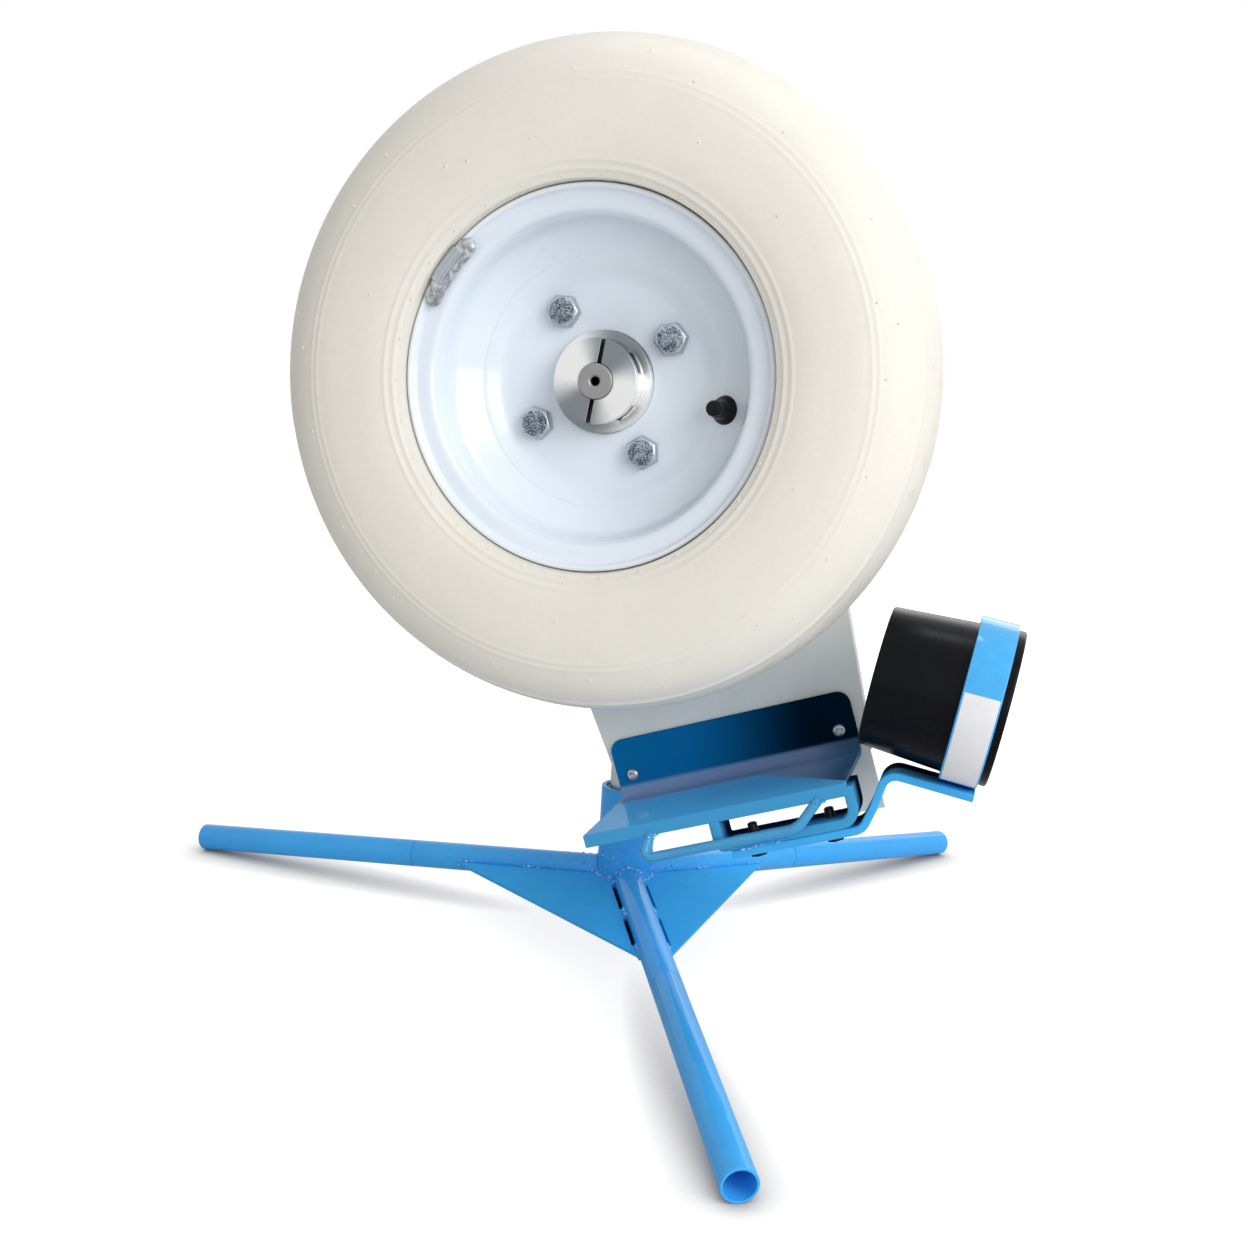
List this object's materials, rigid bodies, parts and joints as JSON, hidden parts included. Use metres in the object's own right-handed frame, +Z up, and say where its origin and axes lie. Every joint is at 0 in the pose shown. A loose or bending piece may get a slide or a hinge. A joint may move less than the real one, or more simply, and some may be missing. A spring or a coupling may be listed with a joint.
{
  "type": "baseball pitching machine",
  "caption": "Single-wheel ball pitching machine: a motor-driven pneumatic wheel over a sheet-metal track with a round feed chute, on a swivelling, tilting post and a low tripod.",
  "frame": {"origin": "on the ground, on the axis of the post", "axes": "+Z up along the post, +Y away from the wheel side and parallel to the wheel axle at rest, +X towards the feed chute"},
  "size_m": [0.6557, 0.6695, 0.6175],
  "materials": {
    "blue_paint": "gloss",
    "galvanised": "satin",
    "steel": "satin",
    "zinc": "bright",
    "black_plastic": "semi-gloss",
    "motor_paint": "satin",
    "aluminium": "machined",
    "magnet": "matt",
    "copper": "satin",
    "board": "satin",
    "rim_paint": "gloss",
    "tyre": "matt",
    "rubber": "matt"
  },
  "bodies": {
    "base": {"socket_tube": "blue_paint", "socket_cap": "blue_paint", "post_bushing": "black_plastic", "lock_boss": "blue_paint", "front_stub": "blue_paint", "left_stub": "blue_paint", "right_stub": "blue_paint", "gusset_front_left": "blue_paint", "gusset_front_right": "blue_paint", "gusset_rear": "blue_paint"},
    "leg_front": {"front_leg": "blue_paint", "front_spigot": "steel"},
    "leg_left": {"left_leg": "blue_paint", "left_spigot": "steel"},
    "leg_right": {"right_leg": "blue_paint", "right_spigot": "steel"},
    "swivel_lock": {"swivel_knob": "black_plastic"},
    "mast": {"mast_post": "steel", "tilt_ring": "steel", "tilt_bolt": "zinc"},
    "tilt_lock": {"tilt_knob": "black_plastic"},
    "dial": {"speed_dial": "black_plastic"},
    "rocker": {"power_rocker": "black_plastic"},
    "wheel": {"drive_shaft": "steel", "armature": "copper", "commutator": "copper", "wheel_hub": "aluminium", "hub_screws": "zinc", "wheel_rim": "rim_paint", "wheel_disc": "rim_paint", "tyre": "tyre", "lug_bolts": "zinc", "valve_stem": "rubber", "valve_cap": "rubber", "wheel_weight": "zinc"},
    "head": {"main_plate": "galvanised", "track_plate": "blue_paint", "track_frame": "blue_paint", "track_rod": "blue_paint", "track_bolts": "zinc", "chute_bracket": "blue_paint", "chute_band": "blue_paint", "chute_tube": "black_plastic", "chute_screws": "zinc", "motor_case": "motor_paint", "front_bell": "aluminium", "rear_bell": "aluminium", "motor_magnets": "magnet", "front_bearing": "steel", "rear_bearing": "steel", "carbon_brushes": "magnet", "brush_caps": "black_plastic", "motor_bolts": "zinc", "control_box": "galvanised", "control_cover": "galvanised", "control_board": "board", "cover_screws": "zinc", "switch_body": "black_plastic", "cord_gland": "black_plastic", "conduit_nipple": "steel"}
  },
  "joints": [
    {"name": "leg_front_pull", "type": "slide", "parent": "base", "child": "leg_front", "axis": [0.4112, -0.9065, -0.0958], "range_m": [0, 0.06]},
    {"name": "leg_left_pull", "type": "slide", "parent": "base", "child": "leg_left", "axis": [-0.9906, 0.0971, -0.0958], "range_m": [0, 0.06]},
    {"name": "leg_right_pull", "type": "slide", "parent": "base", "child": "leg_right", "axis": [0.5794, 0.8094, -0.0958], "range_m": [0, 0.06]},
    {"name": "swivel_lock_turn", "type": "hinge", "parent": "base", "child": "swivel_lock", "pos_m": [-0.00636, 0.03609, 0.0875], "axis": [-0.1736, 0.9848, 0], "range_deg": [0, 180]},
    {"name": "post_swivel", "type": "hinge", "parent": "base", "child": "mast", "pos_m": [0, 0, 0.04726], "axis": [0, 0, 1], "range_deg": [-170, 170]},
    {"name": "head_tilt", "type": "hinge", "parent": "mast", "child": "head", "pos_m": [0.0035, 0, 0.41], "axis": [0, 1, 0], "range_deg": [-10, 50]},
    {"name": "tilt_lock_turn", "type": "hinge", "parent": "mast", "child": "tilt_lock", "pos_m": [-0.08055, 0, 0.39], "axis": [0, 0, 1], "range_deg": [0, 180]},
    {"name": "wheel_spin", "type": "hinge", "parent": "head", "child": "wheel", "pos_m": [0.0035, -0.137, 0.41], "axis": [0, 1, 0], "continuous": true},
    {"name": "speed_dial_turn", "type": "hinge", "parent": "head", "child": "dial", "pos_m": [-0.05799, 0.0287, 0.50316], "axis": [0, -1, 0], "range_deg": [0, 270]},
    {"name": "power_rocker_tip", "type": "hinge", "parent": "head", "child": "rocker", "pos_m": [-0.00312, 0.0257, 0.52194], "axis": [0.9461, 0, 0.3239], "range_deg": [0, 18]}
  ]
}
